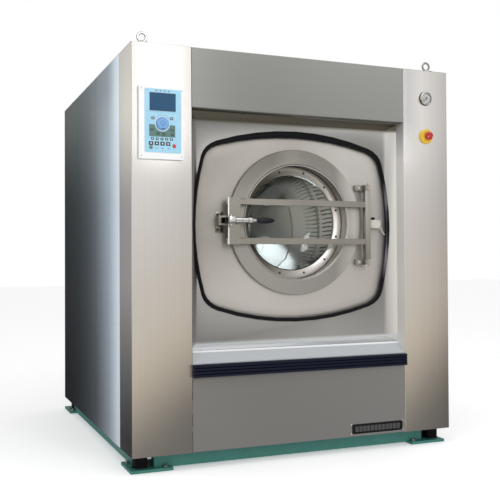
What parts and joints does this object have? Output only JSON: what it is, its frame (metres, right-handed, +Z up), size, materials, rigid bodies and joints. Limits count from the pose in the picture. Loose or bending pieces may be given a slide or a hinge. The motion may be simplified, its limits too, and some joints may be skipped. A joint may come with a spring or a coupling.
{
  "type": "industrial washer extractor",
  "caption": "Front-loading industrial washer extractor: stainless casing, round glass door with lever latch, sprung tub, perforated drum, belt drive and steel base.",
  "frame": {"origin": "on the floor under the middle of the machine's overall box", "axes": "+Z up, the front with the door faces -Y, +X to the right of someone who faces the door"},
  "size_m": [1.773, 1.966, 2.0916],
  "materials": {
    "casing_steel": "vertical brushed stainless, satin",
    "inner_steel": "fine satin stainless, slightly warm",
    "polished_steel": "polished steel",
    "sill_alloy": "pale brushed aluminium",
    "teal_paint": "semi-gloss teal machine paint",
    "navy_rubber": "dark navy fluted strip",
    "black_rubber": "matt black rubber",
    "black_plastic": "gloss black plastic",
    "white_enamel": "gloss white enamel",
    "keypad_blue": "light blue printed film",
    "dial_blue": "deep blue plastic",
    "start_green": "green grey plastic",
    "signal_red": "gloss red plastic",
    "signal_yellow": "gloss yellow plastic",
    "door_glass": "clear toughened glass",
    "grey_paint": "grey machine paint",
    "cast_iron": "machined cast iron"
  },
  "bodies": {
    "casing": {"base_frame": "teal_paint", "bumper_strip": "navy_rubber", "chassis": "grey_paint", "control_housing": "white_enamel", "estop_collar": "signal_yellow", "gauge_case": "polished_steel", "hood_panel": "casing_steel", "isolator_front_left": "black_rubber", "isolator_front_right": "black_rubber", "isolator_rear_left": "black_rubber", "isolator_rear_right": "black_rubber", "keypad": "keypad_blue", "left_pillar_cover": "casing_steel", "left_side_panel_front": "casing_steel", "left_side_panel_middle": "casing_steel", "left_side_panel_rear": "casing_steel", "lifting_eye_front_left": "polished_steel", "lifting_eye_front_right": "polished_steel", "lifting_eye_rear_left": "polished_steel", "lifting_eye_rear_right": "polished_steel", "lower_panel": "casing_steel", "nameplate": "black_plastic", "rear_panel": "casing_steel", "recess_panel": "inner_steel", "right_pillar_cover": "casing_steel", "right_side_panel_front": "casing_steel", "right_side_panel_middle": "casing_steel", "right_side_panel_rear": "casing_steel", "rubber_collar": "black_rubber", "sill": "sill_alloy", "spring_front_left": "cast_iron", "spring_front_right": "cast_iron", "spring_rear_left": "cast_iron", "spring_rear_right": "cast_iron", "top_panel": "casing_steel"},
    "tub": {"tub_shell": "inner_steel", "tub_front_plate": "inner_steel", "hinge_block_low": "inner_steel", "hinge_block_high": "inner_steel", "latch_keeper": "inner_steel", "door_switch": "grey_paint", "switch_lead": "grey_paint", "motor": "grey_paint", "drive_belt": "black_rubber"},
    "door": {"door_frame": "inner_steel", "door_ring": "inner_steel", "door_glass": "door_glass", "glass_clamp_ring": "inner_steel", "door_gasket": "black_rubber"},
    "latch": {"latch_lever": "polished_steel", "latch_grip": "black_plastic"},
    "drum_unit": {"drum": "inner_steel", "drum_shaft": "cast_iron", "drum_pulley": "cast_iron"},
    "motor_rotor": {"motor_pulley": "cast_iron"},
    "rotary_dial": {"dial": "dial_blue"},
    "start_button": {"start_key": "start_green"},
    "stop_button": {"stop_key": "signal_red"},
    "pressure_needle": {"gauge_needle": "black_plastic"},
    "emergency_stop": {"estop_button": "signal_red"}
  },
  "joints": [
    {"name": "tub_bounce", "type": "slide", "parent": "casing", "child": "tub", "axis": [0, 0, 1], "range_m": [-0.008, 0.008], "stiffness_N_per_m": 250000, "springref_m": 0.03906, "deforming": ["spring_front_left", "spring_front_right", "spring_rear_left", "spring_rear_right"]},
    {"name": "door_swing", "type": "hinge", "parent": "tub", "child": "door", "pos_m": [0.41, -0.877, 1.197], "axis": [0, 0, 1], "range_deg": [0, 120]},
    {"name": "latch_turn", "type": "hinge", "parent": "door", "child": "latch", "pos_m": [-0.3795, -0.917, 1.199], "axis": [0, 0, -1], "range_deg": [0, 60]},
    {"name": "drum_spin", "type": "hinge", "parent": "tub", "child": "drum_unit", "pos_m": [0.008, 0.053, 1.197], "axis": [0, 1, 0], "continuous": true},
    {"name": "motor_spin", "type": "hinge", "parent": "tub", "child": "motor_rotor", "pos_m": [0.008, 0.368, 0.31], "axis": [0, 1, 0], "continuous": true},
    {"name": "dial_turn", "type": "hinge", "parent": "casing", "child": "rotary_dial", "pos_m": [-0.7425, -0.957, 1.645], "axis": [0, 1, 0], "continuous": true},
    {"name": "start_press", "type": "slide", "parent": "casing", "child": "start_button", "axis": [0, 1, 0], "range_m": [0, 0.0015], "stiffness_N_per_m": 600},
    {"name": "stop_press", "type": "slide", "parent": "casing", "child": "stop_button", "axis": [0, 1, 0], "range_m": [0, 0.0015], "stiffness_N_per_m": 600},
    {"name": "needle_turn", "type": "hinge", "parent": "casing", "child": "pressure_needle", "pos_m": [0.7455, -0.9482, 1.877], "axis": [0, 1, 0], "range_deg": [0, 270], "stiffness_Nm_per_rad": 0.002},
    {"name": "estop_press", "type": "slide", "parent": "casing", "child": "emergency_stop", "axis": [0, 1, 0], "range_m": [0, 0.006]}
  ],
  "couplings": [
    {"joint": "motor_spin", "follows": "drum_spin", "ratio": 5}
  ]
}
